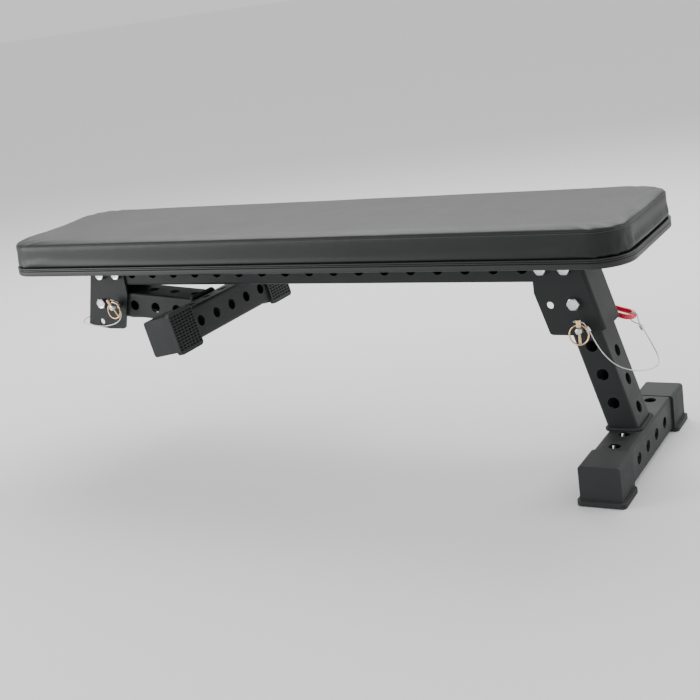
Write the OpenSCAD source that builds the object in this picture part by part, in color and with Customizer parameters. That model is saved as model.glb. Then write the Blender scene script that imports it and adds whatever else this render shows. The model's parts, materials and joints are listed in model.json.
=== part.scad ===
// Flat training bench with a leg frame folding under each end.
// +Z is up, the floor is z = 0, +X runs along the bench, the origin is under its middle.
// The left leg is shown folded under the spine and the right leg unfolded, both pinned.

/* [Pad] */
// Length of the pad along X
pad_len = 1235; // [1000:5:1500]
// Width of the pad along Y
pad_w = 306; // [220:2:380]
// Corner radius of the pad in plan
pad_corner = 60; // [30:5:100]
// Height of the foam above the piping
foam_h = 49; // [30:1:80]
// Rounding of the pad's top edge
foam_edge = 7; // [3:1:24]
// How far the foam sides stand in from the piping
foam_inset = 1.5; // [1:0.5:6]
// Height of the piping band
piping_h = 6; // [4:0.5:10]
// Width of the piping band
piping_w = 4; // [3:0.5:8]
// Thickness of the covered plywood board
board_h = 10; // [8:1:18]

/* [Pad plates] */
// Distance of each pad plate from the middle
plate_x = 300; // [200:10:380]
// Length of a pad plate along X
plate_len = 180; // [120:10:240]
// Overhang of a pad plate on each side of the spine
plate_over = 25; // [24:1:40]
// Thickness of a pad plate
plate_t = 3; // [2:0.5:6]
// Inset of the pad screws from the plate's edges
plate_inset = 15; // [10:1:20]
// Diameter of the pad screws
screw_d = 8; // [6:1:10]

/* [Spine] */
// Width of the spine tube
spine_w = 70; // [60:1:90]
// Height of the spine tube
spine_h = 50; // [40:1:70]
// Wall of every tube
tube_wall = 3; // [2:0.5:4]
// Outer corner radius of every tube
tube_r = 5; // [4:0.5:8]
// Height of the spine's underside above the floor
spine_z = 316; // [260:1:400]
// Distance between neighbouring holes in every tube
hole_pitch = 50.8; // [40:0.2:60]
// Diameter of the rows of holes
hole_d = 20.5; // [14:0.5:24]
// Number of holes along each side of the spine
spine_holes = 17; // [5:2:17]

/* [Legs] */
// Distance of each pivot from the middle
pivot_x = 491; // [485:1:560]
// Depth of each pivot below the spine's underside
pivot_drop = 34; // [33:1:44]
// Outward lean of an unfolded leg, degrees
lean = 16; // [8:1:20]
// Turn of a leg from unfolded to folded, degrees
fold_turn = 101; // [95:1:104]
// Depth of the leg tube, across its leaning faces
leg_depth = 50; // [40:1:52]
// Gap between the leg and each side plate
leg_gap = 1; // [0.8:0.1:2]
// Length of the leg above the pivot
leg_top = 14; // [12:1:15]
// Distance from the pivot to the first side hole of the leg
leg_first_hole = 76.5; // [72:0.5:84]
// Number of side holes in the leg
leg_holes = 3; // [1:1:3]

/* [Feet] */
// Side of the square foot tube
foot_size = 60; // [50:1:70]
// Length of a foot with its caps
foot_len = 373; // [280:1:420]
// How far the foot's middle lies outboard of the leg's middle
foot_offset = 6; // [0:0.5:10]
// Number of holes along a foot
foot_holes = 4; // [2:2:4]
// Thickness of the rubber under the foot tube
tread_h = 5; // [4:0.5:8]
// Wall of a rubber foot cap
cap_wall = 4; // [3:0.5:6]
// Length of tube that a foot cap covers
cap_len = 61; // [40:1:70]
// How far the cap's bottom flange stands out
cap_flange = 5.5; // [3:0.5:8]
// Height of the cap's bottom flange
flange_h = 8; // [6:0.5:12]

/* [Brackets] */
// Thickness of the folded bracket plate
bracket_t = 4; // [3:0.5:6]
// Distance from the pivot to the outer face of the bracket's end web
web_dist = 35.3; // [34.8:0.1:40]
// Distance from the pivot to the lock holes
lock_r = 41; // [40:0.5:44]
// Distance between the two spine bolts
bolt_pitch = 40; // [30:1:44]
// Distance of the outer spine bolt inboard of the pivot
bolt_in = 10.5; // [8:0.5:14]
// Diameter of the spine bolts and pivot bolts
bolt_d = 12; // [10:1:12]

/* [Lock pins] */
// Diameter of a lock pin
pin_d = 12; // [10:0.5:12]
// Length of a lock pin's near end outside the bracket
pin_out = 25; // [22:1:32]
// Diameter of the coated handle
grip_d = 9; // [7:0.5:10]
// Mean radius of the handle's round ends
grip_r = 14; // [13:0.5:16]
// Straight length of the handle
grip_straight = 40; // [30:1:44]
// Droop of each handle below level, degrees
grip_droop = 15; // [0:5:30]
// Diameter of the lynch pin's bar
lynch_d = 4.5; // [4:0.5:5]
// Mean radius of the lynch pin's spring ring
ring_r = 16; // [15:0.5:20]
// Wire diameter of the spring ring
ring_d = 2.5; // [2:0.5:3]
// Turn of the left lynch pin round its lock pin, degrees
lynch_turn = 30; // [0:5:40]
// Diameter of the lanyard wire
wire_d = 2; // [1.5:0.5:2]

/* [Hidden] */

$fn = 48;
fit = 0.05;
gap = 0.3;
cut = 1;
ample = 400;

// Heights, bottom to top
pivot_z = spine_z - pivot_drop;
spine_top = spine_z + spine_h;
board_z = spine_top + plate_t;
piping_z = board_z + board_h;
foam_z = piping_z + piping_h;
foam_top = foam_z + foam_h;

// Pad plates, pad screws and the tee nuts in the board
plate_w = spine_w + 2 * plate_over;
plate_r = 8;
screw_af = screw_d + 5;
screw_head_h = 5.3;
screw_clear = 1;
tee_flange_r = 10;
tee_flange_t = 1.3;
tee_barrel_d = screw_d + 2.6;

// Leg
leg_w = spine_w - 2 * leg_gap;
foot_top = foot_size + tread_h;
leg_len = (pivot_z - foot_top) / cos(lean);
foot_x = leg_len * sin(lean) + foot_offset;
foot_z = foot_top - pivot_z;
leg_spare = 30;
leg_lip = 1.8;
bush_d = bolt_d + 6;
thrust_d = 30;
bead = 4;
cap_end = cap_wall;
cap_r = 6;
flange_r = 8;
pocket_rows = 7;
pocket_cols = 12;
pocket_rib = 2.2;
pocket_deep = 3;
pocket_side = 7.5;
pocket_rim = 3.5;
foot_tube_len = foot_len - 2 * cap_end;

// Fasteners
head_h = 7.5;
nut_h = 12;
washer_t = 2.5;
washer_r = 12;
hex_af = 19;
side_y = spine_w / 2;
plate_y = side_y + bracket_t;
web_in = web_dist - bracket_t;
bracket_below = 3;
bracket_margin = 13;
bracket_rise = 4.6;
bracket_toe_r = 8;
bend_r = 6;
lock_hole_d = pin_d + 0.4;
spine_end = pivot_x + (web_in - sin(lean) * (pivot_drop + spine_h)) / cos(lean) - 4;
bolt_z = spine_h / 2 + pivot_drop;
bolt_hole_d = bolt_d + 0.5;
loose_hole_d = bolt_d + 1;
sleeve_d = bolt_d + 6;
head_chamfer = 4;
plug_lip = 2;
plug_depth = 3;
plug_r = 1.5;

// Lock pins, in the frame of the right pivot
lock_open = [lock_r * sin(lean), -lock_r * cos(lean)];
lock_fold = [lock_r * sin(lean - fold_turn), -lock_r * cos(lean - fold_turn)];
lynch_y = -plate_y - pin_out + pin_d / 2;
pin_chamfer = 1.5;
collar_r = 9;
collar_h = 6;
grip_y = plate_y + gap + collar_h + grip_d / 2 + 2;
head_z = 9.3;
head_below = 3;
head_tall = 11.8;
eye_z = 14.6;
eye_d = wire_d + 1.6;
tip = 2;
lynch_down = 25;
head_d = 9;
ring_gap = asin(1 / ring_r);
ring_sag = ring_r - sqrt(pow(ring_r, 2) - pow(head_d / 2, 2));
ring_tilt = asin((lynch_d / 2 + ring_d / 2 + gap) / (2 * ring_r));

// Lanyard routes, from the tail in the near ferrule to the tail in the far ferrule
right_route = [
    [517, -53.4, 239.5], [513, -53.4, 246.5], [511.5, -56, 252.5], [507.5, -58, 256.8], [502.3, -58, 257.2],
    [497.3, -58, 257.1], [493.8, -56.5, 256.9], [492.3, -53.4, 256.6], [493.8, -50.3, 256.2], [497.5, -48.8, 255.8],
    [503.5, -48.6, 254.5], [508, -49.5, 252], [513, -51, 246.5], [517, -51, 239.5],
    [521, -51.6, 231], [528, -53, 218], [538, -53, 202], [551, -49, 186], [565, -42, 175],
    [579, -29, 167], [591, -13, 162], [599, 5, 160], [602, 23, 161], [597, 41, 167],
    [588, 54, 176], [579, 62, 188], [572.5, 64.2, 199], [568.5, 64.2, 206], [564.5, 64.2, 213],
    [561.8, 64.4, 220.5], [560.5, 64.6, 227.5], [559.4, 64.4, 232.6], [556, 63.8, 235], [551, 63, 234.3],
    [548, 62.4, 230.1], [548.9, 62, 225], [552, 61.8, 220.6], [557, 61.8, 217.8], [561.5, 61.8, 216],
    [564.5, 61.8, 213], [568.5, 61.8, 206]
];
left_route = [
    [-439, -53.4, 276], [-440.5, -53.4, 284], [-445, -56, 291.5], [-452, -57.8, 293.8],
    [-457.5, -58, 291.1], [-461.5, -57.2, 288.7], [-463.9, -54.6, 287.3], [-463.7, -51, 287.3],
    [-461, -49, 288], [-454, -48.6, 289.5], [-446, -49.2, 289], [-440.5, -51, 284],
    [-439, -51, 276], [-438.5, -51, 268], [-440.5, -51, 258], [-447, -51, 249.5], [-458, -51, 243],
    [-474, -51, 239], [-492, -51, 237], [-511, -51, 238], [-529, -51, 240], [-543, -47, 243],
    [-551, -35, 245], [-553, -18, 246], [-553, 2, 246], [-551, 20, 244], [-546, 38, 241],
    [-536, 52, 239], [-521, 61, 240], [-506, 65, 244], [-497, 65.2, 249], [-491.5, 65.2, 255],
    [-485, 65.2, 263], [-478, 65.2, 273], [-472, 65.2, 281.5], [-468.2, 65, 286.8], [-463.6, 64.6, 288.7],
    [-459, 64, 286.6], [-457.1, 63.4, 281.9], [-459.1, 63, 277.3], [-466, 62.8, 272.5],
    [-475, 62.8, 269], [-485, 62.8, 263], [-491.5, 62.8, 255], [-497, 62.8, 249]
];

function sub(a, b) = [a[0] - b[0], a[1] - b[1], a[2] - b[2]];
function unit(v) = v / norm(v);
function clamp_i(p, i) = p[max(0, min(len(p) - 1, i))];

// Point on a smooth curve through the route, at t from 0 to len - 1
function smooth(p, t) =
    let (i = min(floor(t), len(p) - 2), u = t - i,
         a = clamp_i(p, i - 1), b = p[i], c = p[i + 1], d = clamp_i(p, i + 2))
    0.5 * (2 * b + (c - a) * u + (2 * a - 5 * b + 4 * c - d) * u * u
        + (3 * b - a - 3 * c + d) * u * u * u);

// A cross direction carried along the tangents, so the tube doesn't twist
function carry(t, i) =
    i == 0 ? unit(cross(t[0], [0, 0.3, 1])) :
    let (k = carry(t, i - 1)) unit(k - t[i] * (k * t[i]));

module wire(route, d) {
    rings = len(route) + 5;
    sides = 8;
    path = [for (i = [0 : rings - 1]) smooth(route, i * (len(route) - 1) / (rings - 1))];
    tang = [for (i = [0 : rings - 1]) unit(sub(clamp_i(path, i + 1), clamp_i(path, i - 1)))];
    pts = [
        for (i = [0 : rings - 1])
            let (k = carry(tang, i), l = cross(tang[i], k))
            for (j = [0 : sides - 1])
                path[i] + d / 2 * (k * cos(j * 360 / sides) + l * sin(j * 360 / sides))
    ];
    faces = concat(
        [for (i = [0 : rings - 2]) for (j = [0 : sides - 1])
            [i * sides + j, i * sides + (j + 1) % sides, (i + 1) * sides + (j + 1) % sides]],
        [for (i = [0 : rings - 2]) for (j = [0 : sides - 1])
            [i * sides + j, (i + 1) * sides + (j + 1) % sides, (i + 1) * sides + j]],
        [[for (j = [sides - 1 : -1 : 0]) j]],
        [[for (j = [0 : sides - 1]) (rings - 1) * sides + j]]
    );
    polyhedron(pts, [for (f = faces) [for (k = [len(f) - 1 : -1 : 0]) f[k]]]);
}

// Rectangle with round corners, centred
module round_rect(x, y, r) {
    square([x - 2 * r, y], center = true);
    square([x, y - 2 * r], center = true);
    for (i = [-1, 1])
        for (j = [-1, 1])
            translate([i * (x / 2 - r), j * (y / 2 - r)])
                circle(r);
}

module tube_profile(x, y) {
    difference() {
        round_rect(x, y, tube_r);
        round_rect(x - 2 * tube_wall, y - 2 * tube_wall, tube_r - tube_wall);
    }
}

// A rod of length l along +Y from the origin
module rod_y(d, l) {
    rotate([-90, 0, 0])
        cylinder(d = d, h = l);
}

module ring_y(d_out, d_in, l) {
    rotate([-90, 0, 0])
        difference() {
            cylinder(d = d_out, h = l);
            translate([0, 0, -cut])
                cylinder(d = d_in, h = l + 2 * cut);
        }
}

module hex_y(af, l) {
    rotate([-90, 0, 0])
        cylinder(d = af / cos(30), h = l, $fn = 6);
}

// Frame of one end: origin on its pivot, +X outboard
module end_frame(side) {
    translate([side * pivot_x, 0, pivot_z])
        mirror([side < 0 ? 1 : 0, 0, 0])
            children();
}

// Frame of one leg, turned under the spine on the left
module leg_frame(side) {
    end_frame(side)
        rotate([0, side < 0 ? fold_turn : 0, 0])
            children();
}

// Frame of one lock pin: origin on its axis at the middle of the bench
module pin_frame(side) {
    end_frame(side)
        translate(side < 0 ? [lock_fold[0], 0, lock_fold[1]] : [lock_open[0], 0, lock_open[1]])
            children();
}

// Frame of one lynch pin: origin where its bar crosses the lock pin's axis
module clip_frame(side) {
    pin_frame(side)
        translate([0, lynch_y, 0])
            rotate([0, side < 0 ? lynch_turn : 0, 0])
                children();
}

// ---- pad

module pad_slab(inset, z, h) {
    translate([0, 0, z])
        linear_extrude(h)
            round_rect(pad_len - 2 * inset, pad_w - 2 * inset, pad_corner - inset);
}

module pad_cushion() {
    r = pad_corner - foam_inset;
    dx = pad_len / 2 - pad_corner;
    dy = pad_w / 2 - pad_corner;
    color([0.2, 0.21, 0.22]) {
        hull()
            for (i = [-1, 1])
                for (j = [-1, 1])
                    translate([i * dx, j * dy, foam_z]) {
                        cylinder(r = r, h = foam_h - foam_edge);
                        rotate_extrude($fn = 32)
                            translate([r - foam_edge, foam_h - foam_edge])
                                intersection() {
                                    circle(foam_edge, $fn = 32);
                                    square(foam_edge);
                                }
                    }
        pad_slab(piping_w + gap, piping_z + fit, piping_h);
    }
}

module pad_piping() {
    color([0.16, 0.17, 0.18])
        difference() {
            pad_slab(0, piping_z + fit, piping_h - 2 * fit);
            pad_slab(piping_w, piping_z - cut, piping_h + 2 * cut);
        }
}

module at_screws() {
    for (side = [-1, 1])
        for (i = [-1, 1])
            for (j = [-1, 1])
                translate([side * plate_x + i * (plate_len / 2 - plate_inset),
                    j * (plate_w / 2 - plate_inset), 0])
                    children();
}

module pad_board() {
    color([0.15, 0.16, 0.17])
        difference() {
            pad_slab(0, board_z, board_h);
            at_screws()
                translate([0, 0, board_z]) {
                    translate([0, 0, -cut])
                        cylinder(d = tee_barrel_d + 2 * fit, h = board_h + 2 * cut);
                    translate([0, 0, board_h - tee_flange_t - 2 * fit])
                        cylinder(r = tee_flange_r + gap, h = cut + tee_flange_t);
                }
        }
}

module tee_nuts() {
    color("silver")
        at_screws()
            translate([0, 0, board_z])
                difference() {
                    union() {
                        translate([0, 0, screw_clear])
                            cylinder(d = tee_barrel_d, h = board_h - screw_clear - fit);
                        translate([0, 0, board_h - tee_flange_t - fit])
                            cylinder(r = tee_flange_r, h = tee_flange_t);
                    }
                    cylinder(d = screw_d + 2 * fit, h = board_h + cut);
                }
}

module pad_screws() {
    color("silver")
        at_screws() {
            translate([0, 0, spine_top - screw_head_h])
                cylinder(d = screw_af / cos(30), h = screw_head_h, $fn = 6);
            translate([0, 0, spine_top - fit])
                cylinder(d = screw_d, h = plate_t + board_h - screw_clear);
        }
}

module pad_plate(side) {
    color([0.23, 0.25, 0.26])
        difference() {
            translate([side * plate_x, 0, spine_top])
                linear_extrude(plate_t - fit)
                    round_rect(plate_len, plate_w, plate_r);
            at_screws()
                translate([0, 0, spine_top - cut])
                    cylinder(d = screw_d + screw_clear, h = plate_t + 2 * cut);
        }
}

// ---- spine

module spine_tube() {
    color([0.23, 0.25, 0.26])
        difference() {
            translate([-spine_end, 0, spine_z + spine_h / 2])
                rotate([90, 0, 90])
                    linear_extrude(2 * spine_end)
                        tube_profile(spine_w, spine_h);
            for (i = [0 : spine_holes - 1])
                translate([(i - (spine_holes - 1) / 2) * hole_pitch, -side_y - cut, spine_z + spine_h / 2])
                    rod_y(hole_d, spine_w + 2 * cut);
            for (side = [-1, 1])
                for (k = [0, 1])
                    translate([side * (pivot_x - bolt_in - k * bolt_pitch), -side_y - cut, pivot_z + bolt_z])
                        rod_y(loose_hole_d, spine_w + 2 * cut);
        }
}

module spine_plug(side) {
    in_x = spine_w - 2 * tube_wall - 2 * gap;
    in_y = spine_h - 2 * tube_wall - 2 * gap;
    color([0.08, 0.08, 0.09])
        translate([side * spine_end, 0, spine_z + spine_h / 2])
            mirror([side < 0 ? 1 : 0, 0, 0])
                rotate([90, 0, 90]) {
                    translate([0, 0, fit])
                        linear_extrude(plug_lip)
                            round_rect(spine_w - 1, spine_h - 1, tube_r);
                    translate([0, 0, -plug_depth])
                        linear_extrude(plug_depth + 2 * fit)
                            round_rect(in_x, in_y, plug_r);
                }
}

// ---- brackets

// Side view of the bracket, cut square by its leaning web
module bracket_outline() {
    top = pivot_drop + spine_h - bracket_below;
    low = lock_r + bracket_margin;
    back = bolt_in + bolt_pitch + bracket_margin + 3;
    difference() {
        union() {
            polygon([
                [-back, top], [-back, pivot_drop / 2], [-lock_r - 6, -low + bracket_toe_r],
                [-lock_r + 3, -low], [-6, -low], [web_dist - 9, -low + bracket_rise],
                [web_dist + 25, -low + 3 * bracket_rise], [web_dist + 25, top]
            ]);
            translate([-lock_r + 2, -low + bracket_toe_r])
                circle(bracket_toe_r);
        }
        rotate(lean)
            translate([web_dist, -ample / 2])
                square(ample);
    }
}

module bracket(side) {
    w = spine_w + 2 * bracket_t;
    color([0.23, 0.25, 0.26])
        end_frame(side)
            difference() {
                intersection() {
                    rotate([90, 0, 0])
                        translate([0, 0, -w / 2])
                            linear_extrude(w)
                                bracket_outline();
                    rotate([0, -lean, 0])
                        translate([0, 0, -ample / 2])
                            linear_extrude(ample)
                                difference() {
                                    translate([web_dist - ample / 2, 0])
                                        round_rect(ample, w, bend_r);
                                    translate([web_in - ample, 0])
                                        square([2 * ample, spine_w], center = true);
                                }
                }
                translate([0, -w / 2 - cut, 0]) {
                    rod_y(bolt_hole_d, w + 2 * cut);
                    for (p = [lock_open, lock_fold])
                        translate([p[0], 0, p[1]])
                            rod_y(lock_hole_d, w + 2 * cut);
                    for (k = [0, 1])
                        translate([-bolt_in - k * bolt_pitch, 0, bolt_z])
                            rod_y(bolt_hole_d, w + 2 * cut);
                }
            }
}

// ---- fasteners

module at_spine_bolts(side) {
    end_frame(side)
        for (k = [0, 1])
            translate([-bolt_in - k * bolt_pitch, 0, bolt_z])
                children();
}

// Hex bolt across the bracket, with its head on the near side
module cross_bolt() {
    translate([0, -plate_y - head_h, 0])
        difference() {
            hex_y(hex_af, head_h);
            translate([0, -cut, 0])
                rod_y(hex_af - 2 * head_chamfer, cut + 0.4);
        }
    translate([0, -plate_y - fit, 0])
        rod_y(bolt_d, 2 * plate_y + washer_t + nut_h + 3 + fit);
}

module spine_bolts(side) {
    color("silver")
        at_spine_bolts(side)
            cross_bolt();
}

module spine_sleeves(side) {
    color([0.6, 0.6, 0.62])
        at_spine_bolts(side)
            translate([0, -side_y + tube_wall + fit, 0])
                ring_y(sleeve_d, bolt_hole_d, spine_w - 2 * tube_wall - 2 * fit);
}

module lock_nut() {
    translate([0, plate_y + washer_t, 0])
        difference() {
            union() {
                hex_y(hex_af, nut_h - 3);
                rod_y(hex_af - 2, nut_h);
            }
            translate([0, -cut, 0])
                rod_y(bolt_d + 2 * fit, nut_h + 2 * cut);
        }
}

module spine_nuts(side) {
    color("silver")
        at_spine_bolts(side)
            lock_nut();
}

module pivot_bolt(side) {
    color("silver")
        end_frame(side)
            cross_bolt();
}

module pivot_nut(side) {
    color("silver")
        end_frame(side)
            lock_nut();
}

module washer_y() {
    translate([0, plate_y, 0])
        ring_y(2 * washer_r, loose_hole_d, washer_t);
}

module nut_washers(side) {
    color("silver") {
        at_spine_bolts(side)
            washer_y();
        end_frame(side)
            washer_y();
    }
}

// ---- legs

module leg_post(side) {
    color([0.23, 0.25, 0.26])
        leg_frame(side)
            difference() {
                rotate([0, -lean, 0])
                    difference() {
                        translate([0, 0, -leg_len - leg_spare])
                            linear_extrude(leg_len + leg_spare + leg_top)
                                tube_profile(leg_depth, leg_w);
                        translate([0, -leg_w / 2 - cut, 0]) {
                            rod_y(bush_d + 2 * fit, leg_w + 2 * cut);
                            translate([0, 0, -lock_r])
                                rod_y(pin_d + 0.6, leg_w + 2 * cut);
                            for (k = [0 : leg_holes - 1])
                                translate([0, 0, -leg_first_hole - k * hole_pitch])
                                    rod_y(hole_d, leg_w + 2 * cut);
                        }
                        for (k = [0 : leg_holes - 1])
                            translate([-leg_depth / 2 - cut, 0, -leg_first_hole - (k + 0.5) * hole_pitch])
                                rotate([0, 90, 0])
                                    cylinder(d = hole_d, h = leg_depth + 2 * cut);
                    }
                translate([-ample / 2, -ample / 2, foot_z - ample + fit])
                    cube(ample);
            }
}

module leg_plug(side) {
    color([0.08, 0.08, 0.09])
        leg_frame(side)
            rotate([0, -lean, 0])
                translate([0, 0, leg_top]) {
                    translate([0, 0, fit])
                        linear_extrude(leg_lip)
                            round_rect(leg_depth - 1, leg_w - 1, tube_r);
                    translate([0, 0, -plug_depth])
                        linear_extrude(plug_depth + 2 * fit)
                            round_rect(leg_depth - 2 * tube_wall - 2 * gap, leg_w - 2 * tube_wall - 2 * gap, plug_r);
                }
}

module pivot_bush(side) {
    color([0.6, 0.6, 0.62])
        leg_frame(side)
            translate([0, -leg_w / 2, 0])
                ring_y(bush_d, bolt_d + 2 * fit, leg_w);
}

module thrust_washers(side) {
    color([0.9, 0.9, 0.88])
        leg_frame(side)
            for (j = [-1, 1])
                translate([0, j > 0 ? leg_w / 2 + fit : -side_y + fit, 0])
                    ring_y(thrust_d, bolt_hole_d, leg_gap - 2 * fit);
}

// ---- feet

module foot_place(side) {
    leg_frame(side)
        translate([foot_x, 0, foot_z - foot_size / 2])
            children();
}

module foot_tube(side) {
    color([0.23, 0.25, 0.26])
        foot_place(side)
            difference() {
                translate([0, -foot_tube_len / 2, 0])
                    rotate([-90, 0, 0])
                        linear_extrude(foot_tube_len)
                            tube_profile(foot_size, foot_size);
                for (k = [0 : foot_holes - 1])
                    translate([0, (k - (foot_holes - 1) / 2) * hole_pitch, 0])
                        rotate([0, 90, 0])
                            translate([0, 0, -foot_size / 2 - cut])
                                cylinder(d = hole_d, h = foot_size + 2 * cut);
                for (k = [-2, -1, 0, 1, 2])
                    translate([0, k * hole_pitch, -foot_size / 2 - cut])
                        cylinder(d = hole_d, h = foot_size / 2);
                for (k = [-2, -1, 1, 2])
                    translate([0, k * hole_pitch, 0])
                        cylinder(d = hole_d, h = foot_size / 2 + cut);
            }
}

module weld_bead(side) {
    slant = leg_depth / cos(lean);
    color([0.25, 0.27, 0.28])
        leg_frame(side)
            translate([leg_len * sin(lean), 0, foot_z + fit])
                difference() {
                    linear_extrude(bead)
                        round_rect(slant + 2 * bead, leg_w + 2 * bead, tube_r);
                    rotate([0, -lean, 0])
                        translate([0, 0, -leg_spare])
                            linear_extrude(2 * leg_spare)
                                round_rect(leg_depth + 2 * fit, leg_w + 2 * fit, tube_r);
                }
}

// Rubber cap over one foot end, with a flared, waffled tread
module foot_cap(side, end) {
    out = foot_size + 2 * cap_wall;
    length = cap_len + cap_end;
    wide = out + 2 * cap_flange;
    pitch_x = (wide - 2 * pocket_side + pocket_rib) / pocket_cols;
    pitch_y = (length + cap_flange - 2 * pocket_rim + pocket_rib) / pocket_rows;
    color([0.07, 0.07, 0.08])
        foot_place(side)
            mirror([0, end < 0 ? 0 : 1, 0])
                translate([0, -foot_len / 2, 0])
                    difference() {
                        union() {
                            translate([0, 0, -tread_h / 2 + 0.5])
                                rotate([-90, 0, 0])
                                    linear_extrude(length)
                                        round_rect(out, foot_size + tread_h + 1, cap_r);
                            translate([0, length / 2 - cap_flange / 2, -foot_size / 2 - tread_h])
                                linear_extrude(flange_h)
                                    round_rect(wide, length + cap_flange, flange_r);
                        }
                        translate([0, cap_end - fit, 0])
                            rotate([-90, 0, 0])
                                linear_extrude(length)
                                    round_rect(foot_size + 2 * fit, foot_size + 2 * fit, tube_r);
                        translate([pocket_side - wide / 2, pocket_rim - cap_flange, -foot_size / 2 - tread_h - cut])
                            for (i = [0 : pocket_cols - 1])
                                for (j = [0 : pocket_rows - 1])
                                    translate([i * pitch_x, j * pitch_y, 0])
                                        cube([pitch_x - pocket_rib, pitch_y - pocket_rib, cut + pocket_deep]);
                    }
}

// ---- lock pins

module lock_pin(side) {
    color("silver")
        pin_frame(side)
            difference() {
                union() {
                    translate([0, -plate_y - pin_out, 0])
                        rotate([-90, 0, 0])
                            rotate_extrude()
                                polygon([
                                    [0, 0], [pin_d / 2 - pin_chamfer, 0], [pin_d / 2, pin_chamfer],
                                    [pin_d / 2, pin_out + bracket_t - gap], [0, pin_out + bracket_t - gap]
                                ]);
                    translate([0, side_y + gap, 0])
                        rod_y(pin_d, bracket_t + 2 * gap);
                    translate([0, plate_y + gap, 0])
                        rod_y(2 * collar_r, collar_h);
                    translate([0, plate_y + gap, 0])
                        rod_y(pin_d - 2, grip_y - grip_d / 2 - plate_y - gap - fit);
                }
                translate([0, lynch_y, 0])
                    rotate([0, side < 0 ? lynch_turn : 0, 0])
                        cylinder(d = lynch_d + 0.4, h = 2 * pin_d, center = true);
            }
}

module half_loop() {
    rotate_extrude(angle = 180)
        translate([grip_r, 0])
            circle(d = grip_d, $fn = 24);
}

// Closed coated loop in line with the pin, which points towards +X and droops
module pin_grip(side) {
    color([0.86, 0.1, 0.2])
        pin_frame(side)
            translate([0, grip_y, 0])
                rotate([0, side < 0 ? 180 - grip_droop : grip_droop, 0])
                    translate([0, grip_r, 0]) {
                        rotate([0, 0, 90])
                            half_loop();
                        translate([grip_straight, 0, 0])
                            rotate([0, 0, -90])
                                half_loop();
                        for (j = [-1, 1])
                            translate([0, j * grip_r, 0])
                                rotate([0, 90, 0])
                                    cylinder(d = grip_d, h = grip_straight, $fn = 24);
                    }
}

module lynch_pin(side) {
    color([0.75, 0.6, 0.35])
        clip_frame(side)
            difference() {
                union() {
                    translate([0, 0, tip - lynch_down])
                        cylinder(d = lynch_d, h = lynch_down - tip + head_z - head_below + cut);
                    translate([0, 0, -lynch_down])
                        cylinder(d1 = lynch_d - tip, d2 = lynch_d, h = tip);
                    translate([0, 0, head_z - head_below])
                        cylinder(d = head_d, h = head_tall);
                }
                translate([-head_d, 0, head_z])
                    rotate([0, 90, 0])
                        cylinder(d = ring_d + 2 * ring_sag + 2 * gap, h = 2 * head_d);
                translate([-head_d, 0, eye_z])
                    rotate([0, 90, 0])
                        cylinder(d = eye_d, h = 2 * head_d);
            }
}

// Sprung ring hung in the lynch pin's head, closed round the lock pin's end
module spring_ring(side) {
    color([0.8, 0.55, 0.3])
        clip_frame(side)
            translate([0, 0, head_z])
                rotate([-ring_tilt, 0, 0])
                    translate([0, 0, -ring_r])
                        rotate([90, 0, 0])
                            rotate([0, 0, 90 + ring_gap])
                                rotate_extrude(angle = 360 - 2 * ring_gap)
                                    translate([ring_r, 0])
                                        circle(d = ring_d, $fn = 24);
}

// Crimped sleeve from a towards b round both strands of a loop
module sleeve(a, b) {
    v = sub(b, a);
    translate(a)
        rotate([0, acos(v[2] / norm(v)), atan2(v[1], v[0])])
            difference() {
                cylinder(d = wire_d * 3.6, h = norm(v));
                translate([0, 0, -cut])
                    cylinder(d = wire_d * 2.7, h = norm(v) + 2 * cut);
            }
}

module right_ferrules() {
    color([0.7, 0.7, 0.72]) {
        sleeve([513, -52.2, 246.5], [517, -52.2, 239.5]);
        sleeve([568.5, 63, 206], [564.5, 63, 213]);
    }
}

module left_ferrules() {
    color([0.7, 0.7, 0.72]) {
        sleeve([-440.5, -52.2, 284], [-439, -52.2, 276]);
        sleeve([-497, 64, 249], [-491.5, 64, 255]);
    }
}

module lanyard(side) {
    color([0.72, 0.72, 0.72])
        wire(side < 0 ? left_route : right_route, wire_d);
}

pad_cushion();
pad_piping();
pad_board();
tee_nuts();
pad_screws();
pad_plate(-1);  // left_pad_plate
pad_plate(1);  // right_pad_plate
spine_tube();
spine_plug(-1);  // left_spine_plug
spine_plug(1);  // right_spine_plug
bracket(-1);  // left_bracket
bracket(1);  // right_bracket
spine_bolts(-1);  // left_spine_bolts
spine_bolts(1);  // right_spine_bolts
spine_sleeves(-1);  // left_spine_sleeves
spine_sleeves(1);  // right_spine_sleeves
spine_nuts(-1);  // left_spine_nuts
spine_nuts(1);  // right_spine_nuts
pivot_bolt(-1);  // left_pivot_bolt
pivot_bolt(1);  // right_pivot_bolt
pivot_nut(-1);  // left_pivot_nut
pivot_nut(1);  // right_pivot_nut
nut_washers(-1);  // left_nut_washers
nut_washers(1);  // right_nut_washers
leg_post(-1);  // left_leg_post
leg_post(1);  // right_leg_post
leg_plug(-1);  // left_leg_plug
leg_plug(1);  // right_leg_plug
pivot_bush(-1);  // left_pivot_bush
pivot_bush(1);  // right_pivot_bush
thrust_washers(-1);  // left_thrust_washers
thrust_washers(1);  // right_thrust_washers
foot_tube(-1);  // left_foot_tube
foot_tube(1);  // right_foot_tube
weld_bead(-1);  // left_weld_bead
weld_bead(1);  // right_weld_bead
foot_cap(-1, -1);  // left_foot_cap_near
foot_cap(-1, 1);  // left_foot_cap_far
foot_cap(1, -1);  // right_foot_cap_near
foot_cap(1, 1);  // right_foot_cap_far
lock_pin(-1);  // left_lock_pin
lock_pin(1);  // right_lock_pin
pin_grip(-1);  // left_pin_grip
pin_grip(1);  // right_pin_grip
lynch_pin(-1);  // left_lynch_pin
lynch_pin(1);  // right_lynch_pin
spring_ring(-1);  // left_spring_ring
spring_ring(1);  // right_spring_ring
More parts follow.
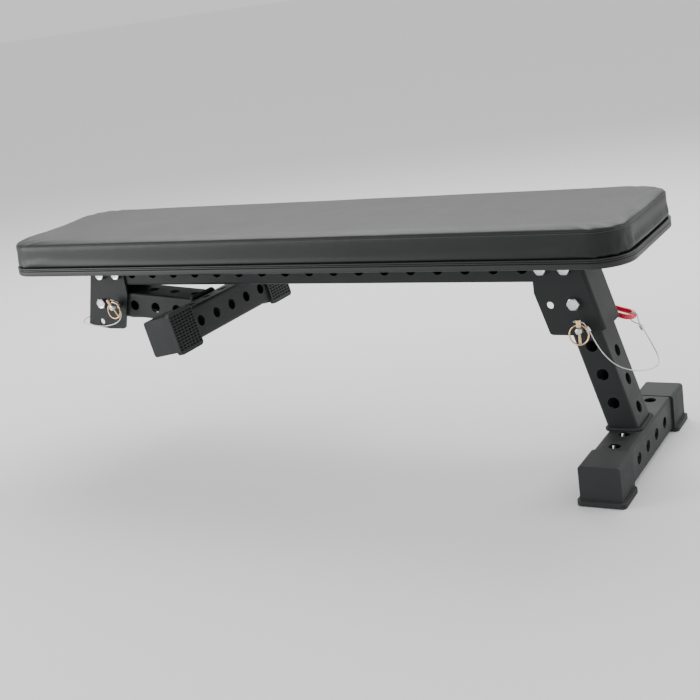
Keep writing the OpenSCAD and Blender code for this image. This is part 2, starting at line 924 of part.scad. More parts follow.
lanyard(-1);  // left_lanyard
lanyard(1);  // right_lanyard
left_ferrules();
right_ferrules();
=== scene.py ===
import json
import math

import bmesh
import bpy
import numpy as np
from mathutils import Matrix, Vector, noise
from mathutils.bvhtree import BVHTree


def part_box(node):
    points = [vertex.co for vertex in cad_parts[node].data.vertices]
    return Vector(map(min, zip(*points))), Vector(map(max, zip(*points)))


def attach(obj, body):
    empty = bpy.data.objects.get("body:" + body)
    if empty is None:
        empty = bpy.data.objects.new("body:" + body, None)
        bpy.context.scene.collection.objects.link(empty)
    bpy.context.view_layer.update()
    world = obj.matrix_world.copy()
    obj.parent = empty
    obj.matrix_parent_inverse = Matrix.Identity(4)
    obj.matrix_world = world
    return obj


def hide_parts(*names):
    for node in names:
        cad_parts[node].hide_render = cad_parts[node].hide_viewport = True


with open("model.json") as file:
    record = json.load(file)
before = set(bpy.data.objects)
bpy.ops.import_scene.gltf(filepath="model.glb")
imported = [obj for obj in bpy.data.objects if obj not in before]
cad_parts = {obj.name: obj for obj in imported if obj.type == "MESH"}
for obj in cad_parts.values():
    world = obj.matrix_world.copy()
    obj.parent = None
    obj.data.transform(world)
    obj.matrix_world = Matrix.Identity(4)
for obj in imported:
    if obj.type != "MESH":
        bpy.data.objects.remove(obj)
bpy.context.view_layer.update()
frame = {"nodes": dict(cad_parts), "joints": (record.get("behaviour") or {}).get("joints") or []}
nodes = frame["nodes"]

# ---- Camera
# A short telephoto camera stands in front of the bench and to the right of it, a little
# above the pad, turned down by 17 degrees and leaning 9 degrees to the side.
yaw, pitch, roll = (math.radians(a) for a in (31.2147, 17.0436, 8.7369))
ahead = Vector((-math.sin(yaw) * math.cos(pitch), math.cos(yaw) * math.cos(pitch), -math.sin(pitch)))
level = Vector((math.cos(yaw), math.sin(yaw), 0))
below = ahead.cross(level)
image_right = math.cos(roll) * level + math.sin(roll) * below
image_down = -math.sin(roll) * level + math.cos(roll) * below
camera_data = bpy.data.cameras.new("studio_camera")
camera_data.sensor_width = 36
camera_data.lens = 63.32
camera_data.clip_end = 50
camera = bpy.data.objects.new("studio_camera", camera_data)
bpy.context.scene.collection.objects.link(camera)
camera.matrix_world = Matrix((image_right, -image_down, -ahead)).transposed().to_4x4()
camera.location = (1.15856, -1.84698, 0.84214)
bpy.context.scene.camera = camera

# ---- Studio
# A pale matt floor, white surroundings and three soft boxes: a wide one overhead that the
# pad's top reflects, one low on the far left for the frame, and a weak one behind on the right.
floor_mesh = bpy.data.meshes.new("studio_floor")
floor_half = 40
floor_mesh.from_pydata(
    [
        (-floor_half, -floor_half, 0), (floor_half, -floor_half, 0), (floor_half, floor_half, 0),
        (-floor_half, floor_half, 0),
    ],
    [],
    [(0, 1, 2, 3)],
)
floor = bpy.data.objects.new("studio_floor", floor_mesh)
bpy.context.scene.collection.objects.link(floor)
floor.location.z = -0.001
floor_paint = bpy.data.materials.new("floor_paint")
floor_paint.use_nodes = True
floor_shader = floor_paint.node_tree.nodes["Principled BSDF"]
floor_shader.inputs["Base Color"].default_value = (0.9, 0.9, 0.9, 1)
floor_shader.inputs["Roughness"].default_value = 0.9
floor_mesh.materials.append(floor_paint)

world = bpy.data.worlds.new("studio_white")
bpy.context.scene.world = world
world.use_nodes = True
world.node_tree.nodes["Background"].inputs["Color"].default_value = (1, 1, 1, 1)
world.node_tree.nodes["Background"].inputs["Strength"].default_value = 0.85


def soft_box(name, place, target, width, height, power):
    """A soft box of that width and height, facing the target."""
    data = bpy.data.lights.new(name, "AREA")
    data.shape = "RECTANGLE"
    data.size, data.size_y, data.energy = width, height, power
    lamp = bpy.data.objects.new(name, data)
    bpy.context.scene.collection.objects.link(lamp)
    lamp.location = place
    lamp.rotation_mode = "QUATERNION"
    lamp.rotation_quaternion = (Vector(target) - Vector(place)).to_track_quat("-Z", "Y")
    return lamp


soft_box("overhead_box", (-0.5, 1.5, 2.1), (0, 0, 0.4), 3.2, 1.6, 62)
soft_box("left_box", (-3.0, -2.3, 0.9), (-0.3, 0, 0.25), 1.8, 1.6, 95)
soft_box("right_box", (2.2, 0.6, 1.0), (0.5, 0, 0.25), 1.0, 1.2, 12)

# ---- Lanyards
# Each is a length of 2 mm galvanised wire rope, laid up from six strands, that ties a lynch
# pin to its lock pin's red handle. Crimped aluminium ferrules close the eye at each end.
rope_radius = 0.001
rope_lay = 0.013
rope_routes = {
    "right": [
        (0.517, -0.0534, 0.2395), (0.513, -0.0534, 0.2465), (0.5115, -0.056, 0.2525),
        (0.5075, -0.058, 0.2568), (0.5023, -0.058, 0.2572), (0.4973, -0.058, 0.2571),
        (0.4938, -0.0565, 0.2569), (0.4923, -0.0534, 0.2566), (0.4938, -0.0503, 0.2562),
        (0.4975, -0.0488, 0.2558), (0.5035, -0.0486, 0.2545), (0.508, -0.0495, 0.252),
        (0.513, -0.051, 0.2465), (0.517, -0.051, 0.2395), (0.521, -0.0516, 0.231),
        (0.528, -0.053, 0.218), (0.538, -0.053, 0.202), (0.551, -0.049, 0.186),
        (0.565, -0.042, 0.175), (0.579, -0.029, 0.167), (0.591, -0.013, 0.162),
        (0.599, 0.005, 0.16), (0.602, 0.023, 0.161), (0.597, 0.041, 0.167), (0.588, 0.054, 0.176),
        (0.579, 0.062, 0.188), (0.5725, 0.0642, 0.199), (0.5685, 0.0642, 0.206),
        (0.5645, 0.0642, 0.213), (0.5618, 0.0644, 0.2205), (0.5605, 0.0646, 0.2275),
        (0.5594, 0.0644, 0.2326), (0.556, 0.0638, 0.235), (0.551, 0.063, 0.2343),
        (0.548, 0.0624, 0.2301), (0.5489, 0.062, 0.225), (0.552, 0.0618, 0.2206),
        (0.557, 0.0618, 0.2178), (0.5615, 0.0618, 0.216), (0.5645, 0.0618, 0.213),
        (0.5685, 0.0618, 0.206),
    ],
    "left": [
        (-0.439, -0.0534, 0.276), (-0.4405, -0.0534, 0.284), (-0.445, -0.056, 0.2915),
        (-0.452, -0.0578, 0.2938), (-0.4575, -0.058, 0.2911), (-0.4615, -0.0572, 0.2887),
        (-0.4639, -0.0546, 0.2873), (-0.4637, -0.051, 0.2873), (-0.461, -0.049, 0.288),
        (-0.454, -0.0486, 0.2895), (-0.446, -0.0492, 0.289), (-0.4405, -0.051, 0.284),
        (-0.439, -0.051, 0.276), (-0.4385, -0.051, 0.268), (-0.4405, -0.051, 0.258),
        (-0.447, -0.051, 0.2495), (-0.458, -0.051, 0.243), (-0.474, -0.051, 0.239),
        (-0.492, -0.051, 0.237), (-0.511, -0.051, 0.238), (-0.529, -0.051, 0.24),
        (-0.543, -0.047, 0.243), (-0.551, -0.035, 0.245), (-0.553, -0.018, 0.246),
        (-0.553, 0.002, 0.246), (-0.551, 0.02, 0.244), (-0.546, 0.038, 0.241),
        (-0.536, 0.052, 0.239), (-0.521, 0.061, 0.24), (-0.506, 0.065, 0.244),
        (-0.497, 0.0652, 0.249), (-0.4915, 0.0652, 0.255), (-0.485, 0.0652, 0.263),
        (-0.478, 0.0652, 0.273), (-0.472, 0.0652, 0.2815), (-0.4682, 0.065, 0.2868),
        (-0.4636, 0.0646, 0.2887), (-0.459, 0.064, 0.2866), (-0.4571, 0.0634, 0.2819),
        (-0.4591, 0.063, 0.2773), (-0.466, 0.0628, 0.2725), (-0.475, 0.0628, 0.269),
        (-0.485, 0.0628, 0.263), (-0.4915, 0.0628, 0.255), (-0.497, 0.0628, 0.249),
    ],
}


def linked(name, mesh):
    """A new object for the mesh, in the scene, at the origin."""
    piece = bpy.data.objects.new(name, mesh)
    bpy.context.scene.collection.objects.link(piece)
    return piece


def smooth_path(points, per_span):
    """A smooth curve through the points, with that many steps from one to the next."""
    p = np.array([points[0], *points, points[-1]], float)
    path = []
    for i in range(1, len(p) - 2):
        a, b, c, d = p[i - 1 : i + 3]
        for u in np.arange(per_span) / per_span:
            path.append(
                0.5 * (
                    2 * b + (c - a) * u + (2 * a - 5 * b + 4 * c - d) * u * u + (3 * b - a - 3 * c + d) * u**3
                )
            )
    path.append(p[-1])
    return np.array(path)


def rope_mesh(name, path):
    """A closed tube along the path whose section is six strands, turning once in each lay length."""
    sides, strands, depth = 24, 6, 0.1
    tangents = np.gradient(path, axis=0)
    tangents /= np.linalg.norm(tangents, axis=1)[:, None]
    run = np.concatenate([[0], np.cumsum(np.linalg.norm(np.diff(path, axis=0), axis=1))])
    side_way = np.cross(tangents[0], (0.1, 0.3, 1))
    vertices, faces = [], []
    for point, tangent, so_far in zip(path, tangents, run):
        side_way = side_way - tangent * (side_way @ tangent)
        side_way /= np.linalg.norm(side_way)
        other_way = np.cross(tangent, side_way)
        twist = 2 * math.pi * so_far / rope_lay
        for k in range(sides):
            angle = 2 * math.pi * k / sides
            radius = rope_radius * (1 - depth + depth * abs(math.cos(strands / 2 * angle)))
            turned = angle + twist
            vertices.append(point + radius * (math.cos(turned) * side_way + math.sin(turned) * other_way))
    last = len(path) - 1
    for i in range(last):
        for k in range(sides):
            here, beside = i * sides + k, i * sides + (k + 1) % sides
            faces.append((here, beside, beside + sides, here + sides))
    faces.append(tuple(reversed(range(sides))))
    faces.append(tuple(last * sides + k for k in range(sides)))
    mesh = bpy.data.meshes.new(name)
    mesh.from_pydata([tuple(v) for v in vertices], [], faces)
    mesh.shade_smooth()
    return mesh


def new_group(name, inputs, outputs):
    """An empty shader node group with those named inputs, each with its usual value, and outputs."""
    group = bpy.data.node_groups.new(name, "ShaderNodeTree")
    for label, usual in inputs.items():
        socket = group.interface.new_socket(name=label, in_out="INPUT", socket_type="NodeSocketFloat")
        socket.default_value = usual
    for label in outputs:
        group.interface.new_socket(name=label, in_out="OUTPUT", socket_type="NodeSocketFloat")
    return group, group.nodes.new("NodeGroupInput"), group.nodes.new("NodeGroupOutput")


def added(tree, kind, settings=None, **values):
    """A new node of that kind, with its settings, and its input sockets set or linked by name."""
    node = tree.nodes.new(kind)
    for key, value in (settings or {}).items():
        setattr(node, key, value)
    for key, value in values.items():
        numbered = key[0] == "n" and key[1:].isdigit()
        socket = node.inputs[int(key[1:]) if numbered else key.replace("_", " ")]
        if isinstance(value, bpy.types.NodeSocket):
            tree.links.new(value, socket)
        else:
            socket.default_value = value
    return node


# Grain: a fine pebbled height and a slow mottling, both from the piece's own coordinates.
grain, g_in, g_out = new_group(
    "grain", {"Scale": 900, "Roughness": 0.6, "Mottle Scale": 12}, ["Height", "Mottle"]
)
g_place = added(grain, "ShaderNodeTexCoord").outputs["Object"]
g_cells = added(
    grain, "ShaderNodeTexVoronoi", {"feature": "SMOOTH_F1"}, Vector=g_place, Scale=g_in.outputs["Scale"]
)
g_noise = added(
    grain, "ShaderNodeTexNoise", None, Vector=g_place, Scale=g_in.outputs["Scale"], Detail=3,
    Roughness=g_in.outputs["Roughness"]
)
g_sum = added(
    grain, "ShaderNodeMath", {"operation": "MULTIPLY_ADD"}, n0=g_cells.outputs["Distance"], n1=0.6,
    n2=g_noise.outputs["Fac"]
)
g_slow = added(
    grain, "ShaderNodeTexNoise", None, Vector=g_place, Scale=g_in.outputs["Mottle Scale"], Detail=4
)
grain.links.new(g_sum.outputs[0], g_out.inputs["Height"])
grain.links.new(g_slow.outputs["Fac"], g_out.inputs["Mottle"])

# Painted edge highlight: a mask where the surface turns a corner, broken up by noise, for a lighter colour
# there.
edge_highlight_group, w_in, w_out = new_group("edge_wear", {"Width": 0.0015, "Gain": 6, "Patch Scale": 60}, ["Mask"])
w_round = added(edge_highlight_group, "ShaderNodeBevel", {"samples": 4}, Radius=w_in.outputs["Width"])
w_flat = added(edge_highlight_group, "ShaderNodeNewGeometry").outputs["Normal"]
w_dot = added(
    edge_highlight_group, "ShaderNodeVectorMath", {"operation": "DOT_PRODUCT"}, n0=w_round.outputs["Normal"], n1=w_flat
)
w_turn = added(edge_highlight_group, "ShaderNodeMath", {"operation": "SUBTRACT"}, n0=1.0, n1=w_dot.outputs["Value"])
w_place = added(edge_highlight_group, "ShaderNodeTexCoord").outputs["Object"]
w_patch = added(
    edge_highlight_group, "ShaderNodeTexNoise", None, Vector=w_place, Scale=w_in.outputs["Patch Scale"], Detail=4
)
w_gain = added(
    edge_highlight_group, "ShaderNodeMath", {"operation": "MULTIPLY"}, n0=w_turn.outputs[0], n1=w_in.outputs["Gain"]
)
w_mask = added(
    edge_highlight_group, "ShaderNodeMath", {"operation": "MULTIPLY", "use_clamp": True}, n0=w_gain.outputs[0],
    n1=w_patch.outputs["Fac"]
)
edge_highlight_group.links.new(w_mask.outputs[0], w_out.inputs["Mask"])

# Painted light from above: a mask on faces that look up, weaker where the noise is low.
dust, d_in, d_out = new_group("dust", {"Amount": 0.2, "Scale": 25}, ["Mask"])
d_normal = added(dust, "ShaderNodeNewGeometry").outputs["Normal"]
d_up = added(dust, "ShaderNodeSeparateXYZ", None, Vector=d_normal).outputs["Z"]
d_place = added(dust, "ShaderNodeTexCoord").outputs["Object"]
d_patch = added(dust, "ShaderNodeTexNoise", None, Vector=d_place, Scale=d_in.outputs["Scale"], Detail=5)
d_facing_up = added(
    dust, "ShaderNodeMath", {"operation": "MULTIPLY", "use_clamp": True}, n0=d_up, n1=d_patch.outputs["Fac"]
)
d_mask = added(
    dust, "ShaderNodeMath", {"operation": "MULTIPLY", "use_clamp": True}, n0=d_facing_up.outputs[0],
    n1=d_in.outputs["Amount"]
)
dust.links.new(d_mask.outputs[0], d_out.inputs["Mask"])


def material(
    name, dark, light, rough, metal=0.0, bump=0.0002, scale=900, mottle=12, settings=None, lit_edges=None,
    top_lit=0.0,
):
    """A material whose colour runs from dark to light with the grain's mottling.

    rough is its lowest and highest roughness, bump the grain's depth in metres, the next to last
    argument the colour of a painted edge highlight with its width and gain, and the last the
    amount of painted light from above on faces that look up.
    """
    made = bpy.data.materials.new(name)
    made.use_nodes = True
    tree = made.node_tree
    shader = tree.nodes["Principled BSDF"]
    shader.inputs["Metallic"].default_value = metal
    for key, value in (settings or {}).items():
        shader.inputs[key].default_value = value
    g = added(tree, "ShaderNodeGroup", {"node_tree": grain}, Scale=scale, Mottle_Scale=mottle)
    ramp = tree.nodes.new("ShaderNodeValToRGB")
    ramp.color_ramp.elements[0].position, ramp.color_ramp.elements[1].position = 0.3, 0.7
    ramp.color_ramp.elements[0].color = (*dark, 1)
    ramp.color_ramp.elements[1].color = (*light, 1)
    tree.links.new(g.outputs["Mottle"], ramp.inputs["Fac"])
    colour = ramp.outputs["Color"]
    # Painted edge highlight: the colour is mixed towards a lighter one where the edge mask is high.
    if lit_edges:
        highlight_colour, width, gain = lit_edges
        edge = added(tree, "ShaderNodeGroup", {"node_tree": edge_highlight_group}, Width=width, Gain=gain)
        mix = added(
            tree, "ShaderNodeMix", {"data_type": "RGBA"}, n0=edge.outputs["Mask"], n6=colour,
            n7=(*highlight_colour, 1),
        )
        colour = mix.outputs[2]
    # Painted light from above: faces that look up are mixed towards a light grey.
    if top_lit:
        top_light = added(tree, "ShaderNodeGroup", {"node_tree": dust}, Amount=top_lit)
        mix = added(
            tree, "ShaderNodeMix", {"data_type": "RGBA"}, n0=top_light.outputs["Mask"], n6=colour,
            n7=(0.5, 0.5, 0.48, 1),
        )
        colour = mix.outputs[2]
    tree.links.new(colour, shader.inputs["Base Color"])
    spread = added(
        tree, "ShaderNodeMapRange", None, Value=g.outputs["Mottle"], From_Min=0.3, From_Max=0.7,
        To_Min=rough[0], To_Max=rough[1],
    )
    tree.links.new(spread.outputs["Result"], shader.inputs["Roughness"])
    relief = added(tree, "ShaderNodeBump", None, Height=g.outputs["Height"], Distance=bump, Strength=1.0)
    tree.links.new(relief.outputs["Normal"], shader.inputs["Normal"])
    return made


def finished(piece, finish, body, slot, *stands_for):
    """The piece gets its material, rides on its body and takes the place of those CAD nodes."""
    if finish is not None:
        piece.data.materials.clear()
        piece.data.materials.append(finish)
    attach(piece, body)
    if stands_for:
        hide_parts(*stands_for)
    return piece


def coated(finish, *names):
    """CAD nodes that keep their shape get the finish of the real piece."""
    for name in names:
        nodes[name].data.materials.clear()
        nodes[name].data.materials.append(finish)


wire_steel = material(
    "wire_steel", (0.5, 0.51, 0.52), (0.72, 0.73, 0.74), (0.28, 0.42), metal=1.0, bump=0.00004, scale=3000,
    mottle=200,
)
crimp_metal = material(
    "crimp_metal", (0.55, 0.56, 0.57), (0.75, 0.76, 0.77), (0.3, 0.45), metal=1.0, bump=0.00006, scale=1500,
    mottle=150,
)
for side in ("right", "left"):
    path = smooth_path(rope_routes[side], 7)
    rope = linked(f"{side}_wire_rope", rope_mesh(f"{side}_wire_rope", path))
    finished(rope, wire_steel, f"{side}_pin", "wire_rope", f"{side}_lanyard")
coated(crimp_metal, "left_ferrules", "right_ferrules")

# ---- Pad cushion
# A block of firm foam, stapled under a sewn cover of satin black vinyl. The cover is pulled
# over the block's rounded top edge, so the top stays flat and the sides bulge a little.
foam_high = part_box("pad_cushion")[1]
piping_low, piping_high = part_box("pad_piping")
board_low, board_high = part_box("pad_board")
pad_corner = 0.06
foam_half_x, foam_half_y = foam_high.x, foam_high.y
cover_gap = 0.0004
foam_inset = piping_high.x - foam_high.x
foam_base = piping_high.z
held_top = foam_base + 0.004
block_size = 0.0055
last_frame = 20
unevenness = 0.0004
pucker_height = 0.0005
pucker_band = 0.006
highest_rise = 0.001
foam_edge = 0.0065
swell = 0.003
crown = 0.0015
seam_drop = 0.0085


def outline(half_x, half_y, corner, per_corner=14, straight=10):
    """Points anticlockwise round a rectangle with round corners, as an array of x and y."""
    points = []
    for quarter, (sx, sy) in enumerate([(1, 1), (-1, 1), (-1, -1), (1, -1)]):
        for k in range(per_corner + 1):
            a = math.pi / 2 * (quarter + k / per_corner)
            points.append(
                (
                    sx * (half_x - corner) + corner * math.cos(a),
                    sy * (half_y - corner) + corner * math.sin(a),
                )
            )
        nsx, nsy = [(-1, 1), (-1, -1), (1, -1), (1, 1)][quarter]
        a = math.pi / 2 * (quarter + 1)
        start, end = np.array(points[-1]), np.array(
            (nsx * (half_x - corner) + corner * math.cos(a), nsy * (half_y - corner) + corner * math.sin(a))
        )
        for k in range(1, straight):
            points.append(tuple(start + (end - start) * k / straight))
    return np.array(points)


def lofted(name, half_x, half_y, corner, rings):
    """A closed solid through rings, each an inset from the outline and a height, capped at both ends."""
    work = bmesh.new()
    loops = []
    for inset, z in rings:
        ring = outline(half_x - inset, half_y - inset, max(corner - inset, 0.004))
        loops.append([work.verts.new((x, y, z)) for x, y in ring])
    count = len(loops[0])
    for lower, upper in zip(loops, loops[1:]):
        for k in range(count):
            work.faces.new((lower[k], lower[(k + 1) % count], upper[(k + 1) % count], upper[k]))
    work.faces.new(list(reversed(loops[0])))
    work.faces.new(loops[-1])
    bmesh.ops.recalc_face_normals(work, faces=work.faces)
    mesh = bpy.data.meshes.new(name)
    work.to_mesh(mesh)
    work.free()
    return mesh


def applied(piece):
    """The piece's modifiers are turned into its mesh."""
    ready = piece.evaluated_get(bpy.context.evaluated_depsgraph_get())
    mesh = bpy.data.meshes.new_from_object(ready)
    piece.modifiers.clear()
    piece.data = mesh
    return piece


block_rings = [(0.0006, foam_base), (0.0, foam_base + 0.0006), (0.0, foam_high.z - swell - foam_edge)]
for step in range(1, 7):
    turn = math.pi / 2 * step / 6
    block_rings.append(
        (foam_edge * (1 - math.cos(turn)), foam_high.z - swell - foam_edge * (1 - math.sin(turn)))
    )
for inset in (0.04, 0.07, 0.11, 0.13):
    block_rings.append((inset, foam_high.z - swell + crown * min(1.0, inset / 0.11) * 0.6))
cushion = linked(
    "pad_cover",
    lofted(
        "pad_cover", foam_half_x - cover_gap, foam_half_y - cover_gap, pad_corner - foam_inset, block_rings
    ),
)
remesh = cushion.modifiers.new("even_faces", "REMESH")
remesh.mode = "VOXEL"
remesh.voxel_size = block_size
applied(cushion)
held = cushion.vertex_groups.new(name="held")
held.add([v.index for v in cushion.data.vertices if v.co.z < held_top], 1.0, "REPLACE")
before = np.array([v.co for v in cushion.data.vertices], float)
stuffing = cushion.modifiers.new("stuffing", "CLOTH")
stuffing.settings.quality = 4
stuffing.settings.mass = 0.4
stuffing.settings.tension_stiffness = 30
stuffing.settings.compression_stiffness = 30
stuffing.settings.bending_stiffness = 2
stuffing.settings.use_pressure = True
stuffing.settings.uniform_pressure_force = 4
stuffing.settings.vertex_group_mass = "held"
stuffing.settings.effector_weights.gravity = 0
stuffing.point_cache.frame_start, stuffing.point_cache.frame_end = 1, last_frame
for number in range(1, last_frame + 1):
    bpy.context.scene.frame_set(number)
blown = cushion.evaluated_get(bpy.context.evaluated_depsgraph_get())
after = np.array([v.co for v in blown.data.vertices], float)
cushion.modifiers.clear()
move = after - before
far = np.linalg.norm(move, axis=1)[:, None]
move *= np.minimum(1, swell / np.maximum(far, 1e-9))
settled = before + move
for k, (x, y, z) in enumerate(settled):
    # A slow unevenness of the foam, and short puckers round the sewn edge.
    slow = noise.noise(Vector((x * 9, y * 9, z * 9))) * unevenness
    close = math.exp(-(((z - (foam_high.z - seam_drop)) / pucker_band) ** 2))
    pucker = noise.noise(Vector((x * 110, y * 110, 3.1))) * pucker_height * close
    outward = np.array(cushion.data.vertices[k].normal)
    settled[k] += outward * (slow + pucker)
settled[:, 2] = np.minimum(settled[:, 2], foam_high.z + highest_rise)
cushion.data.vertices.foreach_set("co", settled.astype(np.float32).ravel())
cushion.data.update()
rounder = cushion.modifiers.new("rounder", "SUBSURF")
rounder.levels = rounder.render_levels = 1
applied(cushion)
cushion.data.shade_smooth()
# Faces of the cover that look up are painted a little lighter, a painted light from above.
vinyl = material(
    "satin_vinyl", (0.006, 0.0072, 0.0076), (0.009, 0.0104, 0.0108), (0.4, 0.47), bump=0.00012,
    scale=1400, mottle=7,
    settings={"Specular IOR Level": 0.34, "Sheen Weight": 0.02, "Sheen Roughness": 0.4}, top_lit=0.03,
)
finished(cushion, vinyl, "bench_frame", "pad_vinyl", "pad_cushion")

# ---- Sewn edge of the cover
# The top panel is sewn to the side band just below the pad's rounded edge: a folded seam
# with a row of lock stitches under it, in dark grey bonded thread.
fold_radius = 0.0007
stitch_length = 0.0034
stitch_pitch = 0.0046
stitch_radius = 0.00035
stitch_drop = 0.0024
stitch_lift = 0.0001
cover_surface = BVHTree.FromPolygons(
    [v.co.copy() for v in cushion.data.vertices], [tuple(p.vertices) for p in cushion.data.polygons]
)


def line_on_cover(name, z, lift):
    """A closed line round the cover at that height, lifted off it, as a mesh of edges."""
    flat = outline(foam_half_x + 0.02, foam_half_y + 0.02, pad_corner + 0.02, 40, 60)
    ahead_of = np.roll(flat, -1, axis=0) - np.roll(flat, 1, axis=0)
    points = []
    for (x, y), (tx, ty) in zip(flat, ahead_of):
        outward = Vector((ty, -tx, 0)).normalized()
        hit = cover_surface.ray_cast(Vector((x, y, z)), -outward, 0.1)[0]
        points.append(hit + outward * lift)
    smoothed = [
        (points[k - 1] + 2 * points[k] + points[(k + 1) % len(points)]) / 4 for k in range(len(points))
    ]
    mesh = bpy.data.meshes.new(name)
    count = len(points)
    mesh.from_pydata([tuple(p) for p in smoothed], [(k, (k + 1) % count) for k in range(count)], [])
    return linked(name, mesh)


def geometry_tree(name, inputs):
    """A Geometry Nodes tree with a geometry input and output and those named sizes."""
    tree = bpy.data.node_groups.new(name, "GeometryNodeTree")
    tree.interface.new_socket(name="Geometry", in_out="INPUT", socket_type="NodeSocketGeometry")
    tree.interface.new_socket(name="Geometry", in_out="OUTPUT", socket_type="NodeSocketGeometry")
    for label, usual in inputs.items():
        if isinstance(usual, int):
            kind = "NodeSocketInt"
        elif isinstance(usual, tuple):
            kind = "NodeSocketVector"
        else:
            kind = "NodeSocketFloat"
        socket = tree.interface.new_socket(name=label, in_out="INPUT", socket_type=kind)
        socket.default_value = usual
    return tree, tree.nodes.new("NodeGroupInput"), tree.nodes.new("NodeGroupOutput")


def close_tree(tree, output, shape, finish):
    """The tree ends in Realize Instances and Set Material."""
    real = added(tree, "GeometryNodeRealizeInstances", None, n0=shape)
    painted = added(tree, "GeometryNodeSetMaterial", None, n0=real.outputs[0])
    painted.inputs["Material"].default_value = finish
    tree.links.new(painted.outputs[0], output.inputs[0])


def grown(piece, tree, **sizes):
    """The tree run on the piece with those sizes, and its result kept as the piece's plain mesh."""
    modifier = piece.modifiers.new(tree.name, "NODES")
    modifier.node_group = tree
    for item in tree.interface.items_tree:
        label = item.name.replace(" ", "_")
        if item.in_out == "INPUT" and label in sizes:
            modifier[item.identifier] = sizes[label]
    return applied(piece)


thread = material(
    "bonded_thread", (0.06, 0.06, 0.062), (0.1, 0.1, 0.102), (0.5, 0.6), bump=0.00005, scale=4000,
    mottle=300,
)

bead_tree, b_in, b_out = geometry_tree("bead_along_a_line", {"Radius": 0.001, "Sides": 12})
b_line = added(bead_tree, "GeometryNodeMeshToCurve", None, n0=b_in.outputs["Geometry"])
b_round = added(
    bead_tree, "GeometryNodeCurvePrimitiveCircle", None, Radius=b_in.outputs["Radius"],
    Resolution=b_in.outputs["Sides"],
)
b_tube = added(
    bead_tree, "GeometryNodeCurveToMesh", None, Curve=b_line.outputs[0], Profile_Curve=b_round.outputs[0]
)
b_smooth = added(bead_tree, "GeometryNodeSetShadeSmooth", None, n0=b_tube.outputs[0])
close_tree(bead_tree, b_out, b_smooth.outputs[0], vinyl)
seam = grown(
    line_on_cover("pad_seam_fold", foam_high.z - seam_drop, 0.0), bead_tree, Radius=fold_radius, Sides=10
)
finished(seam, None, "bench_frame", "pad_vinyl")

stitch_tree, s_in, s_out = geometry_tree(
    "stitches_along_a_line", {"Pitch": 0.005, "Length": 0.003, "Radius": 0.0004}
)
s_line = added(stitch_tree, "GeometryNodeMeshToCurve", None, n0=s_in.outputs["Geometry"])
s_points = added(
    stitch_tree, "GeometryNodeCurveToPoints", {"mode": "LENGTH"}, Curve=s_line.outputs[0],
    Length=s_in.outputs["Pitch"],
)
s_ball = added(stitch_tree, "GeometryNodeMeshUVSphere", None, Segments=6, Rings=5, Radius=1.0)
s_long = added(stitch_tree, "ShaderNodeMath", {"operation": "MULTIPLY"}, n0=s_in.outputs["Length"], n1=0.5)
s_size = added(
    stitch_tree, "ShaderNodeCombineXYZ", None, X=s_in.outputs["Radius"], Y=s_in.outputs["Radius"],
    Z=s_long.outputs[0]
)
s_place = added(
    stitch_tree, "GeometryNodeInstanceOnPoints", None, Points=s_points.outputs["Points"],
    Instance=s_ball.outputs[0],
    Rotation=s_points.outputs["Rotation"], Scale=s_size.outputs[0],
)
close_tree(stitch_tree, s_out, s_place.outputs[0], thread)
stitches = grown(
    line_on_cover("pad_stitches", foam_high.z - seam_drop - stitch_drop, stitch_lift),
    stitch_tree, Pitch=stitch_pitch, Length=stitch_length, Radius=stitch_radius,
)
finished(stitches, None, "bench_frame", "pad_vinyl")

# ---- Piping
# Two beads of vinyl welt, one above the other, go round the pad between the foam's side
# panel and the wrapped board. Each is a folded strip of vinyl sewn over a plastic cord.
bead_radius = (piping_high.z - piping_low.z) / 4
piping_vinyl = material(
    "piping_vinyl", (0.006, 0.0068, 0.0072), (0.009, 0.0098, 0.0102), (0.32, 0.42), bump=0.00006,
    scale=1400, mottle=9,
    settings={"Specular IOR Level": 0.5},
)


def welt_line(name, z, inset):
    ring = outline(piping_high.x - inset, piping_high.y - inset, pad_corner - inset, 30, 4)
    mesh = bpy.data.meshes.new(name)
    count = len(ring)
    mesh.from_pydata([(x, y, z) for x, y in ring], [(k, (k + 1) % count) for k in range(count)], [])
    return linked(name, mesh)


for name, z in (("upper_welt", piping_high.z - bead_radius), ("lower_welt", piping_low.z + bead_radius)):
    welt = grown(welt_line(name, z, bead_radius), bead_tree, Radius=bead_radius * 1.04, Sides=16)
    finished(welt, piping_vinyl, "bench_frame", "piping_vinyl")
welt_core = linked(
    "welt_flange",
    lofted(
        "welt_flange", piping_high.x, piping_high.y, pad_corner,
        [(bead_radius * 1.3, piping_low.z), (bead_radius * 1.3, piping_high.z)],
    ),
)
finished(welt_core, piping_vinyl, "bench_frame", "piping_vinyl", "pad_piping")

# ---- Board
# Plywood wrapped in the same vinyl, which is folded under its edge and stapled every 40 mm
# round the underside. The eight tee nuts are sunk in it, where they do not show.
wrap_radius = 0.0025
wrap_rings = []
for step in range(5):
    turn = math.pi / 2 * step / 4
    wrap_rings.append(
        (wrap_radius * (1 - math.sin(turn)), board_low.z + wrap_radius * (1 - math.cos(turn)))
    )
for step in range(5):
    turn = math.pi / 2 * step / 4
    wrap_rings.append(
        (wrap_radius * (1 - math.cos(turn)), board_high.z - wrap_radius * (1 - math.sin(turn)))
    )
board_vinyl = material(
    "board_vinyl", (0.006, 0.0068, 0.0072), (0.009, 0.0098, 0.0102), (0.4, 0.5), bump=0.00012,
    scale=1400, mottle=8,
    settings={"Specular IOR Level": 0.5},
)
board = linked("wrapped_board", lofted("wrapped_board", board_high.x, board_high.y, pad_corner, wrap_rings))
finished(board, board_vinyl, "bench_frame", "covered_board", "pad_board", "tee_nuts")

